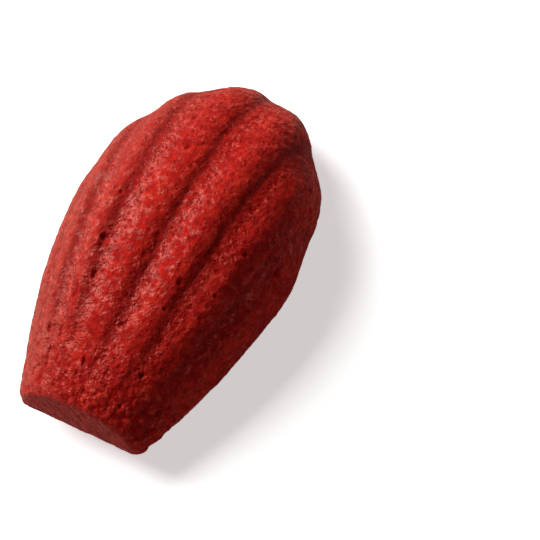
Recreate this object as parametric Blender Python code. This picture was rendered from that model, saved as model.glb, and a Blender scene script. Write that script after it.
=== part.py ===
"""A shell-shaped madeleine, one solid piece of baked sponge.

The ribbed shell side is up and the domed belly, which rose out of the mould, is down.
Metres, +Z up. +X runs from the narrow square nose to the wide round end, and the cake
stands on the small flat spot under its belly. The origin is on the ground, under the
middle of the cake's length.
"""

import math

import bmesh
import bpy

# Driving dimensions, in metres and degrees
LENGTH = 0.0760
HALF_WIDTH = 0.0232          # at the widest place
WIDEST_AT = 0.0425           # from the nose
NOSE_HALF_WIDTH = 0.0134
SHELL_HEIGHT = 0.0190        # from the rim to the top of the ribs
HIGHEST_AT = 0.0428
NOSE_HEIGHT = 0.0083
NOSE_ROUNDING = 0.0014       # how far the edge of the nose face is rounded back
BELLY_DEPTH = 0.0062         # of the whole belly dome, below the rim
FOOT_DEPTH = 0.0058          # where the dome is pressed flat
BELLY_CENTRE = 0.0415
GROOVE_ANGLES = (-63.6, -29.8, -3.8, 22.6, 42.1, 63.0)   # in the fan, from the -Y side
GROOVE_DEPTH = 0.0015

# How full the curves are: 2 is round, more is boxier
OUTLINE_NOSE_POWER = 1.73
OUTLINE_END_POWER = 1.95
DOME_NOSE_POWER = 1.68
DOME_END_POWER = 1.64
SECTION_POWER_NOSE = 2.22
SECTION_POWER_MIDDLE = 2.67
BELLY_POWER = 2.4
BELLY_LIP_POWER = 0.72       # under 1, so that the belly turns up steeply at the rim
RIB_POWER = 2.3              # how the ribs drop to the grooves
GROOVE_SOFTNESS = 0.3        # rounded bottom of a groove, as a share of half a rib

# The grooves open out like a fan; its half width at the nose, the middle and the end
FAN_AT_NOSE = 0.0114
FAN_AT_END = 0.0295
FAN_POWER = 1.5

FAN_RIM = 110.0              # fan angle at which the outermost ribs would end

# Where the grooves begin behind the nose, and how far the scallops reach under the rim
GROOVES_START = 0.0030
GROOVES_FULL = 0.0150
SCALLOP_REACH = 0.18         # as a share of the belly's bulge

# The mesh
COLUMNS = 84
RINGS = 57
NOSE_RINGS = 5
NOSE_CENTRE = 0.4            # height of the middle of the nose face, as a share of it
TIP_CROWDING = 1.6           # over 1, so that the rings lie closer near the wide end
TOP_SHARE = 0.68             # of the columns that lie on the shell side

SHARP_ANGLE = 50.0

CRUMB_COLOUR = (0.36, 0.035, 0.022, 1.0)
CRUMB_ROUGHNESS = 0.6


def clamp(value, low, high):
    return max(low, min(high, value))


def smoothstep(value, low, high):
    t = clamp((value - low) / (high - low), 0.0, 1.0)
    return t * t * (3.0 - 2.0 * t)


def two_part_curve(x, peak_at, start, peak, start_power, end_power, end_root):
    """A height that rises from start at x = 0 to its peak, then rounds down to 0."""
    if x < peak_at:
        back = (peak_at - x) / peak_at
        return peak - (peak - start) * back ** start_power
    ahead = clamp((x - peak_at) / (LENGTH - peak_at), 0.0, 1.0)
    return peak * (1.0 - ahead ** end_power) ** end_root


def half_width(x):
    return two_part_curve(
        x, WIDEST_AT, NOSE_HALF_WIDTH, HALF_WIDTH,
        OUTLINE_NOSE_POWER, OUTLINE_END_POWER, 1.0 / OUTLINE_END_POWER,
    )


def dome_height(x):
    return two_part_curve(
        x, HIGHEST_AT, NOSE_HEIGHT, SHELL_HEIGHT,
        DOME_NOSE_POWER, DOME_END_POWER, 0.5,
    )


def fan_half_width(x):
    if x < WIDEST_AT:
        back = (WIDEST_AT - x) / WIDEST_AT
        return HALF_WIDTH - (HALF_WIDTH - FAN_AT_NOSE) * back ** FAN_POWER
    ahead = clamp((x - WIDEST_AT) / (LENGTH - WIDEST_AT), 0.0, 1.0)
    return HALF_WIDTH + (FAN_AT_END - HALF_WIDTH) * ahead


def belly_bulge(x, across):
    """0 at the rim, 1 at the belly's centre; across runs from -1 to 1."""
    if x < BELLY_CENTRE:
        along = (BELLY_CENTRE - x) / BELLY_CENTRE
    else:
        along = (x - BELLY_CENTRE) / (LENGTH - BELLY_CENTRE)
    along = clamp(along, 0.0, 1.0)
    side = clamp(abs(across), 0.0, 1.0)
    return (1.0 - side ** BELLY_POWER) * (1.0 - along ** BELLY_POWER)


def section_point(x, around):
    """(y, z) on the cross section at x. around is 0 at the top and +-180 at the bottom."""
    width = half_width(x)
    side = math.copysign(1.0, around)
    if abs(around) <= 90.0:
        power = SECTION_POWER_NOSE + (SECTION_POWER_MIDDLE - SECTION_POWER_NOSE) * smoothstep(
            x, 0.0, LENGTH / 2.0
        )
        s = math.sin(math.radians(abs(around)))
        c = math.cos(math.radians(around))
        c = max(c, 0.0)
        reach = (s ** power + c ** power) ** (-1.0 / power)
        return side * width * reach * s, dome_height(x) * reach * c
    across = math.sin(math.radians(around))
    depth = BELLY_DEPTH * belly_bulge(x, across) ** BELLY_LIP_POWER
    return width * across, -min(depth, FOOT_DEPTH)


def around_from_turn(turn):
    """Spread the sphere's even columns so that most of them lie on the shell side."""
    half = 180.0 * TOP_SHARE
    if abs(turn) <= half:
        return 90.0 * turn / half
    rest = (abs(turn) - half) / (180.0 - half)
    return math.copysign(90.0 + 90.0 * rest, turn)


def body_point(t, around):
    """A point of the ungrooved cake; t runs from 0 at the nose pole to 1 at the far tip."""
    nose_share = NOSE_RINGS / RINGS
    centre_z = NOSE_HEIGHT * NOSE_CENTRE
    if t < nose_share:
        turn = math.pi / 2.0 * t / nose_share
        fill = math.sqrt(math.sin(turn))
        x = NOSE_ROUNDING * (1.0 - math.sqrt(max(math.cos(turn), 0.0)))
    else:
        fill = 1.0
        left = (1.0 - t) / (1.0 - nose_share)
        x = LENGTH - (LENGTH - NOSE_ROUNDING) * left ** TIP_CROWDING
    y, z = section_point(x, around)
    return x, y * fill, centre_z * (1.0 - fill) + z * fill


def groove_cut(x, y):
    """How deep the surface lies under the rib tops at a place seen from above."""
    fan = math.degrees(math.asin(clamp(y / fan_half_width(x), -1.0, 1.0)))
    edges = (-FAN_RIM,) + GROOVE_ANGLES + (FAN_RIM,)
    for low, high in zip(edges, edges[1:]):
        if low <= fan <= high:
            from_middle = abs(2.0 * (fan - low) / (high - low) - 1.0)
            break
    past_flank = max(from_middle + GROOVE_SOFTNESS - 1.0, 0.0)
    from_middle -= past_flank ** 2 / (2.0 * GROOVE_SOFTNESS)
    start = smoothstep(x, GROOVES_START, GROOVES_FULL)
    return GROOVE_DEPTH * start * from_middle ** RIB_POWER


def make_madeleine(collection):
    bm = bmesh.new()
    bmesh.ops.create_uvsphere(bm, u_segments=COLUMNS, v_segments=RINGS, radius=1.0)
    for vert in bm.verts:
        t = math.acos(clamp(-vert.co.z, -1.0, 1.0)) / math.pi
        turn = math.degrees(math.atan2(vert.co.x, vert.co.y))
        vert.co = body_point(t, around_from_turn(turn))
    bmesh.ops.recalc_face_normals(bm, faces=bm.faces[:])
    bm.normal_update()

    directions = [vert.normal.copy() for vert in bm.verts]
    for vert, outward in zip(bm.verts, directions):
        x, y, z = vert.co
        cut = groove_cut(x, y)
        if z < 0.0:
            bulge = belly_bulge(x, y / max(half_width(x), 1e-6))
            cut *= clamp(1.0 - bulge / SCALLOP_REACH, 0.0, 1.0)
        vert.co -= outward * cut
        vert.co.x -= LENGTH / 2.0
        vert.co.z = max(vert.co.z + FOOT_DEPTH, 0.0)

    mesh = bpy.data.meshes.new("madeleine")
    bm.to_mesh(mesh)
    bm.free()
    mesh.shade_smooth()
    mesh.set_sharp_from_angle(angle=math.radians(SHARP_ANGLE))
    cake = bpy.data.objects.new("madeleine", mesh)
    collection.objects.link(cake)
    return cake


def make_crumb_material():
    material = bpy.data.materials.new("red_sponge")
    material.use_nodes = True
    shader = material.node_tree.nodes["Principled BSDF"]
    shader.inputs["Base Color"].default_value = CRUMB_COLOUR
    shader.inputs["Roughness"].default_value = CRUMB_ROUGHNESS
    shader.inputs["Metallic"].default_value = 0.0
    material.diffuse_color = CRUMB_COLOUR
    return material


def clear_scene():
    for old in list(bpy.data.objects):
        bpy.data.objects.remove(old, do_unlink=True)


def main():
    clear_scene()
    collection = bpy.data.collections.new("madeleine_cake")
    bpy.context.scene.collection.children.link(collection)
    cake = make_madeleine(collection)
    cake.data.materials.append(make_crumb_material())


main()
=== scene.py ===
# %% [markdown]
# # A red shell-shaped madeleine
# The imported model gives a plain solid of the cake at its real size. This lesson models the
# sponge that replaces it: the ribbed shell, its crumb and pores, the domed belly, a moist
# crumb material, and a small set with a floor, soft lights and a camera.
# Everything is in metres, with +Z up and +X from the narrow nose to the wide round end.

# %% Load the frame
import math

import bpy
from mathutils import Matrix, Vector


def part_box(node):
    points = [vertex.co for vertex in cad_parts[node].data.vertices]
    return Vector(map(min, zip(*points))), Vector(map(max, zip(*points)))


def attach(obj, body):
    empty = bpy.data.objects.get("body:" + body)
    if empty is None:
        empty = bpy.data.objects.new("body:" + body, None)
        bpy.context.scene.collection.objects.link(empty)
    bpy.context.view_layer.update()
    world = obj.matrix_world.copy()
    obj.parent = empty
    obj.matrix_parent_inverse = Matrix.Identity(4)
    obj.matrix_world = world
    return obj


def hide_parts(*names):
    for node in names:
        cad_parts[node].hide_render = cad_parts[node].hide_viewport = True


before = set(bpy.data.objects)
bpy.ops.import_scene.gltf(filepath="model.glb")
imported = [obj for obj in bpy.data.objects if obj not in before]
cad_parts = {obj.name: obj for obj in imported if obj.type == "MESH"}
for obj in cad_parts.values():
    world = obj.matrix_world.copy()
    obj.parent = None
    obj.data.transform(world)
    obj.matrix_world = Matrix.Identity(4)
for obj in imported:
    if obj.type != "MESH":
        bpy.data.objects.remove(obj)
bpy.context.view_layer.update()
low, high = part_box("madeleine")
print("solid box in mm:", [round(1000 * (b - a), 1) for a, b in zip(low, high)])

# %% [markdown]
# ## Sizes
# A shell mould is drawn with a few curves: an outline from above, a crown line from the
# side, and a fan of grooves. The sizes below are read from the solid's box, and the rest
# are worked out from them as shares, so the sponge fits the solid wherever it lies.

# %% Sizes of the shell
MM = 0.001
TIP_NOTCH = 0.34 * MM        # a groove ends at the tip, so the box stops short of the curve
NOSE_X = low[0]
LENGTH = high[0] - low[0] + TIP_NOTCH
HALF_WIDTH = (high[1] - low[1]) / 2.0
FOOT_DEPTH = 5.8 * MM        # from the rim down to the flat spot that the cake stands on
RIM_Z = low[2] + FOOT_DEPTH
SHELL_HEIGHT = 19.0 * MM
WIDEST_AT = 0.559 * LENGTH   # from the nose
HIGHEST_AT = 0.563 * LENGTH
NOSE_HALF_WIDTH = 0.577 * HALF_WIDTH
NOSE_HEIGHT = 0.437 * SHELL_HEIGHT
NOSE_EDGE = 1.9 * MM         # rounding between the nose face and the shell
BELLY_DEPTH = 6.2 * MM
BELLY_CENTRE = 0.546 * LENGTH
print("shell length, width, height in mm:",
      [round(size / MM, 1) for size in (LENGTH, 2 * HALF_WIDTH, SHELL_HEIGHT)])

# %% [markdown]
# ## Formulas as nodes
# In Geometry Nodes every sum or product is a Math node. Wiring them one by one is long and
# hard to read, so this small class stands for a number that flows through a tree. Adding or
# multiplying two of them adds the right Math node, and the script reads like the formula.


# %% A number that flows through a tree
class Flow:
    """One output socket of a node tree, with arithmetic that adds Math nodes."""

    def __init__(self, tree, socket):
        self.tree = tree
        self.socket = socket

    def math(self, operation, *others):
        return math_node(self.tree, operation, self, *others)

    def __add__(self, other):
        return self.math("ADD", other)

    __radd__ = __add__

    def __sub__(self, other):
        return self.math("SUBTRACT", other)

    def __rsub__(self, other):
        return math_node(self.tree, "SUBTRACT", other, self)

    def __mul__(self, other):
        return self.math("MULTIPLY", other)

    __rmul__ = __mul__

    def __truediv__(self, other):
        return self.math("DIVIDE", other)

    def __rtruediv__(self, other):
        return math_node(self.tree, "DIVIDE", other, self)

    def __pow__(self, other):
        return self.math("POWER", other)

    def at_least(self, other):
        return self.math("MAXIMUM", other)

    def at_most(self, other):
        return self.math("MINIMUM", other)

    def clamp(self):
        return self.at_least(0.0).at_most(1.0)


def plug(tree, value, socket):
    """Link a Flow to a socket, or set the socket to a plain value."""
    if isinstance(value, Flow):
        tree.links.new(value.socket, socket)
    else:
        socket.default_value = value


def math_node(tree, operation, *values):
    node = tree.nodes.new("ShaderNodeMath")
    node.operation = operation
    for value, socket in zip(values, node.inputs):
        plug(tree, value, socket)
    return Flow(tree, node.outputs[0])


def add_node(tree, kind, inputs=(), output=0, **settings):
    """Add a node, set its settings and its inputs by name, and return one of its outputs."""
    node = tree.nodes.new(kind)
    for name, value in settings.items():
        setattr(node, name, value)
    for name, value in dict(inputs).items():
        plug(tree, value, node.inputs[name])
    return Flow(tree, node.outputs[output])


def ramp(value, start, end, to_start=0.0, to_end=1.0):
    """A smooth step from to_start, where value is start, to to_end, where it is end."""
    inputs = {"Value": value, "From Min": start, "From Max": end,
              "To Min": to_start, "To Max": to_end}
    return add_node(value.tree, "ShaderNodeMapRange", inputs, interpolation_type="SMOOTHSTEP")


print("formula helpers ready")

# %% [markdown]
# ## The tree and its named inputs
# A geometry tree is a function: it gets sizes by name and gives a mesh. The group is built
# here with one input for each driving size, so that a learner can put it on an object as a
# modifier and make the cake longer, wider or more deeply ribbed.

# %% Start the tree
SIZES = {
    "Columns": 300,
    "Rings": 330,
    "Length": LENGTH,
    "Half width": HALF_WIDTH,
    "Shell height": SHELL_HEIGHT,
    "Belly depth": BELLY_DEPTH,
    "Foot depth": FOOT_DEPTH,
    "Groove depth": 1.0 * MM,
    "Unevenness": 0.45 * MM,
    "Crumb relief": 1.0,
    "Seed": 4.0,
}


def start_tree(name, sizes):
    """A geometry tree with one input for each size; returns the tree and its inputs."""
    tree = bpy.data.node_groups.new(name, "GeometryNodeTree")
    tree.interface.new_socket("Geometry", in_out="INPUT", socket_type="NodeSocketGeometry")
    tree.interface.new_socket("Geometry", in_out="OUTPUT", socket_type="NodeSocketGeometry")
    for label, value in sizes.items():
        kind = "NodeSocketInt" if isinstance(value, int) else "NodeSocketFloat"
        socket = tree.interface.new_socket(label, in_out="INPUT", socket_type=kind)
        socket.default_value = value
    group_in = tree.nodes.new("NodeGroupInput")
    flows = {label: Flow(tree, group_in.outputs[label]) for label in sizes}
    return tree, flows


form, size = start_tree("madeleine_form", SIZES)
print("tree inputs:", ", ".join(SIZES))

# %% [markdown]
# ## From a ball to a cake
# A sphere is already closed, with one pole for the nose and one for the far tip. Each point
# of it knows how far along it is (its latitude) and which way round (its longitude). Those
# two numbers become a place on the cake. A loft between cross sections would also do, but a
# remapped sphere has no seam to weld and no caps to add.

# %% Along and around
NOSE_SHARE = 0.11            # of the rings that lie on the flat nose face
TOP_SHARE = 0.76             # of the columns that lie on the shell side

ball = add_node(form, "GeometryNodeMeshUVSphere",
                {"Segments": size["Columns"], "Rings": size["Rings"], "Radius": 1.0})
ball_place = add_node(form, "GeometryNodeInputPosition")
split = form.nodes.new("ShaderNodeSeparateXYZ")
plug(form, ball_place, split.inputs[0])
ball_x, ball_y, ball_z = (Flow(form, socket) for socket in split.outputs)

progress = (ball_z * -1.0).at_least(-1.0).at_most(1.0).math("ARCCOSINE") / math.pi
turn = ball_x.math("ARCTAN2", ball_y)
side = turn.math("SIGN")
turn_size = turn.math("ABSOLUTE")

top_turn = math.pi * TOP_SHARE
top_part = (turn_size / top_turn).at_most(1.0)
under_part = ((turn_size - top_turn) / (math.pi - top_turn)).at_least(0.0)
around = (top_part + under_part) * (math.pi / 2.0)
is_under = under_part.math("GREATER_THAN", 0.0)
print("columns on the shell side:", round(SIZES["Columns"] * TOP_SHARE))

# %% [markdown]
# The first rings cover the flat end face of the nose. They start at a pole in the middle of
# that face, run straight out, and turn over a small rounded edge. From there every ring is
# one cross section of the cake, up to the far tip where the sections shrink to a point.

# %% The nose face and the way along
NOSE_EDGE_SHARE = 0.13       # of the face's half width that belongs to the rounded edge
NOSE_MIDDLE = 0.4            # height of the face's middle, as a share of its height
TIP_CROWDING = 1.15          # over 1 puts the rings closer near the round end

on_nose = progress.math("LESS_THAN", NOSE_SHARE)
flat_way = 1.0 - NOSE_EDGE_SHARE
edge_way = NOSE_EDGE_SHARE * math.pi / 2.0
walked = (progress / NOSE_SHARE).clamp() * (flat_way + edge_way)
edge_turn = ((walked - flat_way) / NOSE_EDGE_SHARE).at_least(0.0)
nose_fill = walked.at_most(flat_way) + edge_turn.math("SINE") * NOSE_EDGE_SHARE
nose_along = (1.0 - edge_turn.math("COSINE")) * NOSE_EDGE

left = ((1.0 - progress) / (1.0 - NOSE_SHARE)).clamp()
body_along = size["Length"] - (size["Length"] - NOSE_EDGE) * left ** TIP_CROWDING
along = body_along + (nose_along - body_along) * on_nose
fill = 1.0 + (nose_fill - 1.0) * on_nose
print("rings on the nose face:", round(SIZES["Rings"] * NOSE_SHARE))

# %% [markdown]
# ## Outline, crown line and cross section
# Both long curves rise from the nose to a peak and then round down to nothing at the tip.
# One helper draws them, because only their sizes and fullness differ. A power of 2 gives a
# round curve and a higher one a boxier curve, for the cross section too.

# %% Curves that rise and round down
SECTION_POWER_NOSE = 2.22
SECTION_POWER_GAIN = 0.45


def back_and_ahead(x, peak_at):
    """1 to 0 from the nose to the peak, and 0 to 1 from the peak to the tip."""
    back = ((peak_at - x) / peak_at).clamp()
    ahead = ((x - peak_at) / (size["Length"] - peak_at)).clamp()
    return back, ahead


def peaked_curve(peak_at, start, peak, start_power, end_power, end_root):
    back, ahead = back_and_ahead(along, peak_at)
    rise = peak - (peak - start) * back ** start_power
    return rise * (1.0 - ahead ** end_power).at_least(0.0) ** end_root


half_width = peaked_curve(WIDEST_AT, NOSE_HALF_WIDTH, size["Half width"], 1.73, 1.95, 0.513)
crown = peaked_curve(HIGHEST_AT, NOSE_HEIGHT, size["Shell height"], 1.68, 1.64, 0.5)

power = SECTION_POWER_NOSE + SECTION_POWER_GAIN * ramp(along, 0.0, LENGTH / 2.0)
sine = around.math("SINE").clamp()
cosine = around.math("COSINE").clamp()
reach = (sine ** power + cosine ** power).at_least(0.001) ** (-1.0 / power)
shell_y = half_width * reach * sine
shell_z = crown * reach * cosine
print("section fullness:", SECTION_POWER_NOSE, "to", SECTION_POWER_NOSE + SECTION_POWER_GAIN)

# %% [markdown]
# ## The belly
# In the oven the batter rises out of the mould as a low dome, so a turned-out cake has a
# belly under its rim. The dome's edge turns up steeply, like a lip, which a power under 1
# gives. Where the cake stands, the dome is pressed flat.

# %% The belly and the place of every point
BELLY_POWER = 2.4
BELLY_LIP_POWER = 0.72
NOSE_FOOT = 0.8 * MM         # the nose face leans: its foot is this far ahead
NOSE_BACK = 0.9 * MM         # and its top edge this far back
NOSE_LEAN_RUN = 8.0 * MM     # and the lean is gone this far along
CORNER_REACH = 2.2 * MM      # the nose's lower corners are rounded over this height
CORNER_PULL = 0.35 * MM      # and drawn in by this much

behind = (BELLY_CENTRE - along) / BELLY_CENTRE
before = (along - BELLY_CENTRE) / (size["Length"] - BELLY_CENTRE)
off_centre = behind.at_least(before).clamp()
bulge = (1.0 - sine ** BELLY_POWER) * (1.0 - off_centre ** BELLY_POWER)
belly_z = (size["Belly depth"] * bulge ** BELLY_LIP_POWER).at_most(size["Foot depth"]) * -1.0
belly_y = half_width * sine

place_y = (shell_y + (belly_y - shell_y) * is_under) * side
is_side = ramp(sine, 0.5, 1.0)
place_z = shell_z + (belly_z - shell_z) * is_under
face_middle = NOSE_HEIGHT * NOSE_MIDDLE
by_the_rim = ramp(place_z.math("ABSOLUTE"), CORNER_REACH, 0.0)
pull = by_the_rim * ramp(along, 9.0 * MM, 1.0 * MM) * CORNER_PULL
place_y = place_y - pull * side * is_side
filled_z = face_middle * (1.0 - fill) + place_z * fill
height_share = (filled_z / NOSE_HEIGHT).clamp()
nose_lean = ramp(along, NOSE_LEAN_RUN, 0.0) * (height_share * (NOSE_BACK + NOSE_FOOT) - NOSE_FOOT)
smooth_place = add_node(form, "ShaderNodeCombineXYZ", {
    "X": along + NOSE_X + nose_lean,
    "Y": place_y * fill,
    "Z": filled_z + RIM_Z,
})
print("belly dome in mm:", round(BELLY_DEPTH / MM, 1), "and its foot:", round(FOOT_DEPTH / MM, 1))

# %% [markdown]
# ## A fan of grooves
# The grooves of a shell spread like the sticks of a fan: each keeps its own angle while the
# fan opens from the nose to the round end, where the rim cuts it off and leaves a scallop.
# Each rib rises between two grooves. A loop adds the grooves one by one and keeps the
# deepest cut, so a groove is moved or deepened by one number.

# %% Cut the grooves
FAN_AT_NOSE = 0.85 * NOSE_HALF_WIDTH
FAN_AT_END = 1.27 * HALF_WIDTH
FAN_POWER = 1.5
FAN_RIM = 110.0              # fan angle at which the outermost ribs would end
FAN_LEAN = 3.0               # degrees that every groove leans to one side before the end
RIB_POWER = 1.9              # how a rib drops to its grooves
GROOVE_SOFTNESS = 0.42       # rounded bottom of a groove, as a share of half a rib
GROOVE_RUN = 36.0 * MM       # a groove deepens over this way
CREASE_OFFSET = 4.0          # degrees from a groove to its crease, which is painted dark as shade
CREASE_WIDTH = 3.7           # degrees on each side
CREASE_WIDENING = 1.0        # so that creases stay as wide where the fan closes to the nose
CREASE_DEPTH = 0.20          # of the groove's depth
BANK_OFFSET = 1.6            # degrees from a groove to the middle of its lit bank, which gets a painted highlight
BANK_WIDTH = 5.2             # degrees on each side
SCALLOP_REACH = 0.18         # how far a scallop goes under the rim, as a share of the bulge

# fan angle in degrees from the -Y side, and depth share
GROOVES = (
    (-63.5, 0.60),
    (-32.5, 0.86),
    (-5.5, 0.96),
    (21.2, 0.72),
    (41.5, 0.70),
    (62.5, 0.50),
)

fan_back, fan_ahead = back_and_ahead(along, WIDEST_AT)
fan_half = (HALF_WIDTH - (HALF_WIDTH - FAN_AT_NOSE) * fan_back ** FAN_POWER
            + (FAN_AT_END - HALF_WIDTH) * fan_ahead)
fan_sine = (place_y / fan_half).at_least(-1.0).at_most(1.0)
wander_place = add_node(form, "ShaderNodeCombineXYZ", {"X": along, "Y": place_y})
wander = add_node(form, "ShaderNodeTexNoise", {"Vector": wander_place, "W": size["Seed"],
                  "Scale": 90.0, "Detail": 1.0}, noise_dimensions="4D") - 0.5
fan = (fan_sine.math("ARCSINE").math("DEGREES") + FAN_LEAN * (1.0 - fan_ahead)
       + wander * 3.0)
nose_widening = 1.0 + fan_back * CREASE_WIDENING


def groove_cut(below, groove, above):
    """The cut of one groove, 0 at the rib tops beside it, its crease and its lit bank, for
    painted shade and highlight.
    """
    angle, depth = groove
    downward = (angle - fan) / ((angle - below) / 2.0)
    upward = (fan - angle) / ((above - angle) / 2.0)
    flank = (1.0 - downward.at_least(upward)).clamp()
    bottom = (flank + (GROOVE_SOFTNESS - 1.0)).at_least(0.0)
    soft = (flank - bottom ** 2.0 / (2.0 * GROOVE_SOFTNESS)) / (1.0 - GROOVE_SOFTNESS / 2.0)
    off_crease = (fan - (angle + CREASE_OFFSET)).math("ABSOLUTE")
    crease = ramp(off_crease / nose_widening, CREASE_WIDTH, 0.0)
    off_bank = (fan - (angle - BANK_OFFSET)).math("ABSOLUTE")
    bank = ramp(off_bank / nose_widening, BANK_WIDTH, 0.0)
    cut_depth = (soft.at_least(0.0) ** RIB_POWER + crease * CREASE_DEPTH) * depth
    return cut_depth, crease * depth, bank * (1.6 - depth)


angles = [-FAN_RIM] + [groove[0] for groove in GROOVES] + [FAN_RIM]
cut, creased, banked = groove_cut(angles[0], GROOVES[0], angles[2])
for groove, below, above in list(zip(GROOVES, angles, angles[2:]))[1:]:
    one_cut, one_crease, one_bank = groove_cut(below, groove, above)
    cut = cut.at_least(one_cut)
    creased = creased.at_least(one_crease)
    banked = banked.at_least(one_bank)
cut = cut * ramp(along, 0.0, GROOVE_RUN)
on_ribs = ramp(along, 4.0 * MM, 20.0 * MM) * (1.0 - is_under)
creased = creased * on_ribs
banked = banked * on_ribs
under_fade = 1.0 - (bulge / SCALLOP_REACH).clamp() * is_under
cut = cut * under_fade
print("grooves:", len(GROOVES), "ribs:", len(GROOVES) + 1)

# %% [markdown]
# ## Notes on the surface
# Later steps and the material need to know what part of the cake a point belongs to, and a
# point forgets its place on the ball as soon as it moves. Named attributes are notes that
# stay with the points: how deep the groove is, how far along and around, and so on.


# %% Write the notes and shape the shell
def store(geometry, name, value):
    inputs = {"Geometry": geometry, "Name": name, "Value": value}
    return add_node(form, "GeometryNodeStoreNamedAttribute", inputs)


def read(name):
    return add_node(form, "GeometryNodeInputNamedAttribute", {"Name": name})


def move(geometry, place):
    inputs = {"Geometry": geometry, "Position": place}
    return add_node(form, "GeometryNodeSetPosition", inputs)


def raise_by(geometry, height):
    """Move every point along its normal."""
    normal = add_node(form, "GeometryNodeInputNormal")
    offset = add_node(form, "ShaderNodeVectorMath", {"Vector": normal, "Scale": height},
                      operation="SCALE")
    return add_node(form, "GeometryNodeSetPosition", {"Geometry": geometry, "Offset": offset})


cake = store(ball, "groove", cut)
cake = store(cake, "crease", creased)
cake = store(cake, "bank", banked)
cake = store(cake, "along", along)
around_degrees = around.math("DEGREES") * side
cake = store(cake, "around", around_degrees)
cake = store(cake, "belly", is_under * (bulge / SCALLOP_REACH).clamp())
nose_share = on_nose * ramp(edge_turn, 1.3, 0.0)
cake = store(cake, "nose", nose_share)
# The +Y flank faces the light; the material paints a paler sheen on it.
turned_away = ramp(around_degrees, 5.0, 66.0) * ramp(around_degrees, 172.0, 105.0)
cake = store(cake, "flank", turned_away * (1.0 - nose_share))
cake = move(cake, smooth_place)
print("notes stored: groove, crease, along, around, belly, nose")

# %% [markdown]
# ## Uneven baking
# No rib of a real cake is quite straight or even. A slow noise, with swells as wide as a
# rib, lifts and lowers the skin a little while the grooves are cut.


# %% Ribs, grooves and slow swells
def noise(tree, place, feature, seed, detail=2.0, roughness=0.5):
    """Noise around 0, from about -0.5 to 0.5, with features of the given size in metres."""
    inputs = {"Vector": place, "W": seed, "Scale": 1.0 / feature,
              "Detail": detail, "Roughness": roughness}
    return add_node(tree, "ShaderNodeTexNoise", inputs, noise_dimensions="4D") - 0.5


here = add_node(form, "GeometryNodeInputPosition")
swell = noise(form, here, 13.0 * MM, size["Seed"], detail=1.0) * size["Unevenness"] * 2.0
cake = raise_by(cake, swell - read("groove") * size["Groove depth"])
print("deepest groove in mm:", round(SIZES["Groove depth"] / MM * 1.10, 2))

# %% [markdown]
# ## Pores and dents that show
# A few pores are large enough to know by sight: burst bubbles in the grooves and shallow
# stretched dents on the flank. Each is listed by where it lies, and a loop presses it in.
# The list is short, and everything smaller is left to chance in the next step.

# %% Press in the large pores
DEGREE = 0.37 * MM           # length of one degree around, at the widest place

# mm from the nose, degrees around, radius in mm, depth in mm, stretch along the rib
PORES = (
    (30.8, 21.4, 0.90, 0.80, 1.0),
    (29.2, 21.5, 0.50, 0.35, 1.2),
    (23.8, 18.8, 0.60, 0.45, 1.4),
    (20.3, 25.5, 0.75, 0.35, 1.9),
    (12.0, 37.8, 0.65, 0.40, 1.9),
    (7.4, 33.0, 0.55, 0.34, 5.0),
    (4.6, 26.5, 0.45, 0.26, 3.5),
    (12.5, 27.5, 0.45, 0.24, 3.5),
    (8.8, 4.7, 0.60, 0.40, 1.4),
    (6.4, 6.0, 0.45, 0.35, 1.2),
    (11.0, -33.5, 0.60, 0.55, 1.1),
    (28.7, -23.9, 0.50, 0.55, 1.1),
    (23.4, -24.2, 0.40, 0.35, 1.3),
    (54.0, 7.8, 0.55, 0.40, 1.5),
    (61.0, 17.5, 0.60, 0.35, 1.6),
    (39.4, -43.2, 0.45, 0.35, 1.2),
    (30.0, -41.5, 0.45, 0.35, 1.2),
    (41.2, -65.0, 0.55, 0.40, 1.4),
    (59.3, -65.0, 0.55, 0.40, 1.2),
    (40.0, 23.7, 0.45, 0.40, 1.3),
    (9.4, 52.0, 0.45, 0.30, 1.2),
    (22.2, 53.6, 0.45, 0.30, 1.2),
    (4.0, -32.6, 0.55, 0.40, 1.3),
    (1.6, -8.0, 0.45, 0.35, 1.3),
)


ragged_along = noise(form, here, 1.1 * MM, 5.0) * 0.9
ragged_around = noise(form, here, 1.1 * MM, 6.0) * 2.6


def pore_depth(pore):
    """How far one pore is pressed in; its edge is clear and its bottom round."""
    far, degrees, radius, depth, stretch = pore
    across_scale = DEGREE / (radius * MM)
    over = (read("along") - far * MM + ragged_along * MM) / (radius * MM * stretch)
    beside = (read("around") - degrees + ragged_around) * across_scale
    return (1.0 - over * over - beside * beside).at_least(0.0) * (depth * MM)


pressed = pore_depth(PORES[0])
for pore in PORES[1:]:
    pressed = pressed.at_least(pore_depth(pore))
print("large pores:", len(PORES))

# %% [markdown]
# ## Crumb
# Sponge is full of bubbles of many sizes. Cells of a Voronoi pattern stand for them: where
# the skin passes close to a cell's centre it opens as a small round pit, and the nearer the
# centre, the wider the pit. Two sizes of cell make two sizes of pit, and noise between them
# gives the soft lumps of the crumb.


# %% Bubbles and lumps
def bubbles(place, cell, biggest, share, depth):
    """Round pits, up to biggest in radius, in a share of the cells; 0 between them."""
    pattern = form.nodes.new("ShaderNodeTexVoronoi")
    plug(form, place, pattern.inputs["Vector"])
    pattern.inputs["Scale"].default_value = 1.0 / cell
    distance = Flow(form, pattern.outputs["Distance"]) * cell
    chance = form.nodes.new("ShaderNodeSeparateXYZ")
    plug(form, Flow(form, pattern.outputs["Color"]), chance.inputs[0])
    lucky = Flow(form, chance.outputs[0]).math("LESS_THAN", share)
    radius = (0.4 + 0.6 * Flow(form, chance.outputs[1])) * lucky * biggest
    dip = 1.0 - (distance / radius.at_least(0.01 * MM)) ** 2.0
    return dip.at_least(0.0) * radius * depth


seed_shift = add_node(form, "ShaderNodeCombineXYZ", {"X": size["Seed"] * 0.11})
crumb_place = add_node(form, "ShaderNodeVectorMath", {0: here, 1: seed_shift})
near_nose = ramp(read("along"), 16.0 * MM, 3.0 * MM)
roughened = 1.0 + near_nose * 0.3 + read("belly") * 0.5 - read("nose") * 0.35

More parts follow.
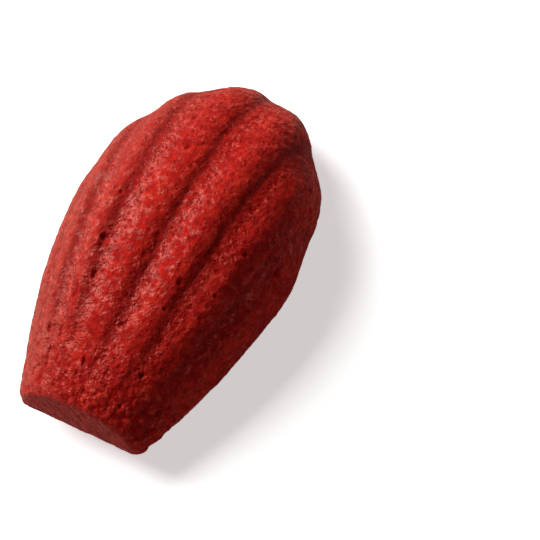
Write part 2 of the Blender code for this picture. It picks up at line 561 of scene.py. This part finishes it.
bend = add_node(form, "ShaderNodeTexNoise", {"Vector": crumb_place, "Scale": 1.0 / (0.9 * MM),
                "Detail": 2.0}, output="Color")
bend = add_node(form, "ShaderNodeVectorMath", {0: bend, "Scale": 0.9 * MM}, operation="SCALE")
bent_place = add_node(form, "ShaderNodeVectorMath", {0: crumb_place, 1: bend})
small_pits = bubbles(bent_place, 2.2 * MM, 0.75 * MM, 0.65, 0.26)
wide_pits = bubbles(bent_place, 4.5 * MM, 1.05 * MM, 0.45, 0.26)
pebbles = add_node(form, "ShaderNodeTexVoronoi", {"Vector": bent_place, "Scale": 1.0 / (1.5 * MM),
                   "Smoothness": 0.2}, output="Distance", feature="SMOOTH_F1")
pebbles = (0.4 - pebbles) * near_nose * (1.0 - read("nose")) * (1.0 - read("flank") * 0.6)
crevices = ramp(pebbles, 0.05, -0.25)
pebbles = pebbles * 0.42 * MM
lumps = noise(form, crumb_place, 2.0 * MM, 1.0, detail=2.0, roughness=0.5) * 0.42 * MM
grain = noise(form, crumb_place, 0.9 * MM, 2.0, detail=2.0, roughness=0.6) * 0.28 * MM
pits = (small_pits + wide_pits).at_least(pressed)
cake = store(cake, "pit", (pits / MM).at_least(crevices * 0.2))
relief = (lumps + grain) * roughened + pebbles - pits
cake = raise_by(cake, relief * size["Crumb relief"])
print("small pits up to", 0.42 * 2, "mm wide, wide pits up to", 0.75 * 2, "mm")

# %% [markdown]
# The crumb is pressed flat where the cake stands, so no point goes below the ground. Then
# the tree ends: instances are made real, and the material is set, because an exporter
# reads plain meshes only.

# %% Stand on the ground and end the tree
final = form.nodes.new("ShaderNodeSeparateXYZ")
plug(form, add_node(form, "GeometryNodeInputPosition"), final.inputs[0])
final_x, final_y, final_z = (Flow(form, socket) for socket in final.outputs)
grounded = add_node(form, "ShaderNodeCombineXYZ",
                    {"X": final_x, "Y": final_y, "Z": final_z.at_least(low[2])})
cake = move(cake, grounded)
cake = add_node(form, "GeometryNodeSetShadeSmooth", {"Geometry": cake})
cake = add_node(form, "GeometryNodeRealizeInstances", {"Geometry": cake})

crumb = bpy.data.materials.new("moist_red_crumb")
cake = add_node(form, "GeometryNodeSetMaterial", {"Geometry": cake, "Material": crumb})
group_out = form.nodes.new("NodeGroupOutput")
plug(form, cake, group_out.inputs["Geometry"])
print("nodes in the form tree:", len(form.nodes))

# %% [markdown]
# ## A plain mesh
# The modifier is evaluated once and the result kept as an ordinary mesh. The object stays
# at the origin, unturned, with its place in its mesh, so patterns on object coordinates
# keep their place too.


# %% Make the mesh
def use_tree(thing, tree, sizes):
    """Put the tree on an object and set its inputs by their identifiers."""
    modifier = thing.modifiers.new(tree.name, "NODES")
    modifier.node_group = tree
    for item in tree.interface.items_tree:
        if item.in_out == "INPUT" and item.name in sizes:
            modifier[item.identifier] = sizes[item.name]
    return modifier


def bake_modifiers(thing):
    """Keep the evaluated mesh and remove the modifiers."""
    graph = bpy.context.evaluated_depsgraph_get()
    shaped = thing.evaluated_get(graph)
    mesh = bpy.data.meshes.new_from_object(shaped, preserve_all_data_layers=True, depsgraph=graph)
    thing.modifiers.clear()
    thing.data = mesh
    return mesh


sponge = bpy.data.objects.new("madeleine_sponge", bpy.data.meshes.new("madeleine_sponge"))
bpy.context.scene.collection.objects.link(sponge)
use_tree(sponge, form, SIZES)
mesh = bake_modifiers(sponge)
mesh.name = "madeleine_sponge"
triangles = sum(len(face.vertices) - 2 for face in mesh.polygons)
print("sponge triangles:", triangles)

# %% [markdown]
# ## Moist red crumb
# Red sponge is not one colour. Its walls are thin and let light through, so it mixes deep
# red, brighter orange red where a bubble wall is thin, and paler pink at the two ends. Light
# and shade are painted in too: a pale pink highlight on glinting crumbs and on the lit bank
# of each groove, a paler sheen on the +Y flank, a glow on the shaded side of each rib, and
# painted shade in the hollows of the grain, in the creases and on the nose face. The pits
# are darker, partly their own deeper red and partly painted shade. The colours are mixed
# with noise on object coordinates, and the notes on the surface tell the shader where pits
# and grooves are.

# %% Colour of the crumb
crumb.use_nodes = True
look = crumb.node_tree
shader = look.nodes["Principled BSDF"]
coordinates = look.nodes.new("ShaderNodeTexCoord")
spot = Flow(look, coordinates.outputs["Object"])

DEEP_RED = (0.290, 0.0018, 0.0012, 1.0)
SPONGE_RED = (0.460, 0.0055, 0.0026, 1.0)
THIN_WALL_GLOW_RED = (0.500, 0.0130, 0.0042, 1.0)
PALE_CRUMB_AND_HIGHLIGHT = (0.640, 0.0800, 0.0540, 1.0)
PIT_SHADE_RED = (0.340, 0.0008, 0.0006, 1.0)
PAINTED_SHEEN_FLANK = (0.280, 0.0590, 0.0420, 1.0)
NOSE_FACE_SHADE_RED = (0.300, 0.0170, 0.0140, 1.0)
CREASE_SHADE_RED = (0.250, 0.0028, 0.0030, 1.0)


def mix(factor, first, second):
    """Blend two colours, or a colour flow with a colour."""
    node = look.nodes.new("ShaderNodeMix")
    node.data_type = "RGBA"
    plug(look, factor, node.inputs[0])
    plug(look, first, node.inputs[6])
    plug(look, second, node.inputs[7])
    return Flow(look, node.outputs[2])


def note(name):
    node = look.nodes.new("ShaderNodeAttribute")
    node.attribute_name = name
    return Flow(look, node.outputs["Fac"])


def shift(place, feature, amount, detail):
    """Push a place about by noise, so that a pattern on it loses its regular shapes."""
    push = add_node(look, "ShaderNodeTexNoise", {"Vector": place, "Scale": 1.0 / feature,
                    "Detail": detail, "Roughness": 0.65}, output="Color")
    push = add_node(look, "ShaderNodeVectorMath", {0: push, "Scale": amount}, operation="SCALE")
    return add_node(look, "ShaderNodeVectorMath", {0: place, 1: push})


def small_pits(cell, biggest, share):
    """1 in the middle of small pits of mixed sizes, and 0 between them."""
    place = shift(spot, 0.9 * MM, 0.8 * MM, 2.0)
    pattern = look.nodes.new("ShaderNodeTexVoronoi")
    plug(look, place, pattern.inputs["Vector"])
    pattern.inputs["Scale"].default_value = 1.0 / cell
    chance = look.nodes.new("ShaderNodeSeparateXYZ")
    plug(look, Flow(look, pattern.outputs["Color"]), chance.inputs[0])
    lucky = Flow(look, chance.outputs[0]).math("LESS_THAN", share)
    radius = (0.45 + 0.55 * Flow(look, chance.outputs[1])) * (biggest / cell)
    return ramp(Flow(look, pattern.outputs["Distance"]) / radius, 1.0, 0.2) * lucky


wavy = shift(spot, 1.0 * MM, 1.3 * MM, 2.0)
cells = add_node(look, "ShaderNodeTexVoronoi", {"Vector": wavy, "Scale": 1.0 / (1.0 * MM)},
                 output="Distance")
grit = noise(look, spot, 0.46 * MM, 21.0, detail=1.5, roughness=0.7)
knobs = noise(look, spot, 1.3 * MM, 22.0, detail=1.0, roughness=0.5)
holes = small_pits(2.3 * MM, 0.95 * MM, 0.75)
pinholes = small_pits(1.35 * MM, 0.55 * MM, 0.65)
holes = holes.at_least(pinholes * 0.8) * (1.0 - note("nose") * 0.3 - note("flank") * 0.25)
crumb_height = (cells - 0.45) * 0.30 + grit * 0.95 + knobs * 1.1
patches = noise(look, spot, 4.0 * MM, 12.0, detail=3.0, roughness=0.6)
walls = noise(look, spot, 3.0 * MM, 13.0, detail=3.0, roughness=0.6)
glints = noise(look, spot, 1.2 * MM, 31.0, detail=2.0, roughness=0.6)
ends = ramp(note("along"), 15.0 * MM, 3.0 * MM) + ramp(note("along"), 54.0 * MM, 70.0 * MM)
plain = (1.0 - note("bank") * 1.2 - note("crease")).clamp()
glints = glints + patches * 0.35 + note("bank") * 0.15 - plain * 0.02
glints = glints + ends * 0.07
glints = ramp(glints, -0.07, 0.13) * (1.0 - holes) * (1.0 - note("nose") * 0.5)
ridge = ramp(crumb_height, -0.02, 0.42)

flank = note("flank")
# Darker red in the low spots of the grain, which is painted shade in its hollows, and random tone
# in patches.
colour = mix(ramp(patches * 0.6 + crumb_height * 0.9, -0.30, 0.25), DEEP_RED, SPONGE_RED)
# Brighter orange red in random patches of thin wall, and on the shaded side of each rib between
# bank and crease: a painted glow of light let through.
colour = mix(ramp(walls + plain * 0.10 - 0.06, 0.0, 0.20) * 0.75, colour, THIN_WALL_GLOW_RED)
# Painted sheen: the +Y flank, turned to the light, is painted paler and less red, as a sheen at
# grazing angles.
flank_sheen = flank * (0.66 + patches * 1.1 + crumb_height * 0.75)
colour = mix(flank_sheen.clamp(), colour, PAINTED_SHEEN_FLANK)
# Painted highlight: grain tops are painted pale pink where crumbs glint, most on each groove's
# lit bank; at the two ends it is paler crumb.
pale_and_highlight = ridge * (0.05 + glints * 0.60 + note("bank") * 0.30 + ends * 0.25).clamp()
colour = mix(pale_and_highlight, colour, PALE_CRUMB_AND_HIGHLIGHT)
# Painted shade: each groove's crease is painted a darker red.
colour = mix(note("crease") * (0.76 + patches * 1.2).clamp(), colour, CREASE_SHADE_RED)
# Painted shade: the nose face, turned from the light, is painted a darker, duller red.
colour = mix(note("nose") * (0.6 + patches * 1.2).clamp(), colour, NOSE_FACE_SHADE_RED)
# Pits and crevices are painted a deeper, darker red: partly the crumb's own colour there, partly
# painted shade.
pit_shade = (ramp(note("pit"), 0.03, 0.22) + holes).clamp() * (1.0 - flank * 0.5)
colour = mix(pit_shade, colour, PIT_SHADE_RED)
plug(look, colour, shader.inputs["Base Color"])
print("crumb colours mixed:", 6)

# %% [markdown]
# ## Sheen and fine grain
# The mesh holds what is wider than about half a millimetre. Finer grain is a bump pattern,
# and it makes the tiny glints of a moist cake: small walls that happen to face the light.
# Some light also goes into the sponge and comes out red beside where it went in.

# %% Gloss, grain and depth
grain_height = (crumb_height + grit * 0.15) * (0.7 + glints * 0.5 + flank * 0.5)
grain_height = grain_height * (1.0 - note("nose") * 0.35)
grain_height = grain_height - holes * 0.5
bump = add_node(look, "ShaderNodeBump", {"Height": grain_height,
                "Strength": 1.0, "Distance": 0.22 * MM})
plug(look, bump, shader.inputs["Normal"])
plug(look, 0.95 - glints * 0.66, shader.inputs["Roughness"])
shader.inputs["Metallic"].default_value = 0.0
shader.inputs["IOR"].default_value = 1.40
shader.inputs["Specular IOR Level"].default_value = 0.35
shader.inputs["Specular Tint"].default_value = (1.0, 0.74, 0.60, 1.0)
shader.inputs["Sheen Weight"].default_value = 0.20
shader.inputs["Sheen Roughness"].default_value = 0.32
shader.inputs["Sheen Tint"].default_value = (1.0, 0.74, 0.58, 1.0)
shader.inputs["Subsurface Weight"].default_value = 0.40
shader.inputs["Subsurface Radius"].default_value = (1.0, 0.12, 0.08)
shader.inputs["Subsurface Scale"].default_value = 1.3 * MM
print("grain bump in mm:", 0.22)

# %% [markdown]
# ## The set
# A pale floor, one large soft light from the left, and a weak fill. The cake lies with its
# nose towards the viewer and to the left, and the camera looks down on it from that side
# with a long lens, so the ribs run up and away to the right.

# %% Floor
floor_mesh = bpy.data.meshes.new("floor")
FLOOR_HALF = 3.0
corners = [(-FLOOR_HALF, -FLOOR_HALF), (FLOOR_HALF, -FLOOR_HALF),
           (FLOOR_HALF, FLOOR_HALF), (-FLOOR_HALF, FLOOR_HALF)]
floor_mesh.from_pydata([(x, y, low[2]) for x, y in corners], [], [(0, 1, 2, 3)])
floor = bpy.data.objects.new("floor", floor_mesh)
bpy.context.scene.collection.objects.link(floor)
floor_paint = bpy.data.materials.new("pale_floor")
floor_paint.use_nodes = True
paper = floor_paint.node_tree.nodes["Principled BSDF"]
paper.inputs["Base Color"].default_value = (0.86, 0.86, 0.86, 1.0)
paper.inputs["Roughness"].default_value = 0.75
paper.inputs["Emission Color"].default_value = (1.0, 1.0, 1.0, 1.0)
seen = floor_paint.node_tree.nodes.new("ShaderNodeLightPath")
glow = Flow(floor_paint.node_tree, seen.outputs["Is Camera Ray"]) * 0.50 + 0.08
plug(floor_paint.node_tree, glow, paper.inputs["Emission Strength"])
floor_mesh.materials.append(floor_paint)
floor.visible_glossy = False
print("floor size in m:", 2 * FLOOR_HALF)

# %% Camera
PITCH = math.radians(16.6)   # how far the nose tips towards the viewer
ROLL = math.radians(21.7)    # how far the +Y flank turns up
LEAN = math.radians(30.42)   # how far the cake's length leans to the right in the picture
DISTANCE = 0.670             # from the rim's middle to the camera
LENS = 232.7                 # in mm, on a sensor 36 mm wide
BESIDE = -17.83 * MM         # the rim's middle lies this far right of the camera's aim
ABOVE = 1.71 * MM            # and this far above it

toward = Vector((-math.sin(PITCH), -math.cos(PITCH) * math.sin(ROLL),
                 math.cos(PITCH) * math.cos(ROLL)))
across = Vector((0.0, -math.cos(ROLL), -math.sin(ROLL)))
lengthwise = across.cross(toward) * -1.0
right = across * math.cos(LEAN) + lengthwise * math.sin(LEAN)
up = lengthwise * math.cos(LEAN) - across * math.sin(LEAN)

camera_data = bpy.data.cameras.new("camera")
camera = bpy.data.objects.new("camera", camera_data)
bpy.context.scene.collection.objects.link(camera)
camera_data.sensor_width = 36.0
camera_data.lens = LENS
camera_data.clip_start = 0.02
rim_middle = Vector(((low[0] + high[0]) / 2.0, 0.0, RIM_Z))
eye = rim_middle + toward * DISTANCE
aim = (toward * -DISTANCE - right * BESIDE - up * ABOVE).normalized()
side_way = aim.cross(up).normalized()
up_way = side_way.cross(aim)
turned = Matrix((side_way, up_way, aim * -1.0)).transposed().to_4x4()
camera.matrix_world = Matrix.Translation(eye) @ turned
bpy.context.scene.camera = camera
print("lens in mm:", round(camera_data.lens), "distance in m:", DISTANCE)


# %% Lights
def soft_light(name, direction, distance, width, power, tint=(1.0, 1.0, 1.0)):
    """A square area light that faces the cake from a direction."""
    light = bpy.data.lights.new(name, "AREA")
    light.energy = power
    light.size = width
    light.color = tint
    lamp = bpy.data.objects.new(name, light)
    bpy.context.scene.collection.objects.link(lamp)
    direction = Vector(direction).normalized()
    lamp.location = rim_middle + direction * distance
    lamp.rotation_euler = direction.to_track_quat("Z", "Y").to_euler()
    return lamp


key_from = Vector((0.15, 0.77, 0.63))
soft_light("key_light", key_from, 1.1, 0.80, 22.0)

world = bpy.data.worlds.new("studio")
bpy.context.scene.world = world
world.use_nodes = True
studio = world.node_tree
dim_walls = studio.nodes["Background"]
dim_walls.inputs["Color"].default_value = (1.0, 0.50, 0.42, 1.0)
dim_walls.inputs["Strength"].default_value = 0.05
seen_wall = studio.nodes.new("ShaderNodeBackground")
seen_wall.inputs["Color"].default_value = (0.61, 0.60, 0.60, 1.0)
ray = studio.nodes.new("ShaderNodeLightPath")
either = studio.nodes.new("ShaderNodeMixShader")
studio.links.new(ray.outputs["Is Camera Ray"], either.inputs[0])
studio.links.new(dim_walls.outputs[0], either.inputs[1])
studio.links.new(seen_wall.outputs[0], either.inputs[2])
studio.links.new(either.outputs[0], studio.nodes["World Output"].inputs["Surface"])
bpy.context.scene.view_settings.view_transform = "Standard"
print("key light from:", [round(v, 2) for v in key_from.normalized()])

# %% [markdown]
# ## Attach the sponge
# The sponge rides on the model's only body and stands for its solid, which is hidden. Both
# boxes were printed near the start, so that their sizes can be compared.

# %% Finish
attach(sponge, "root")
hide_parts("madeleine")
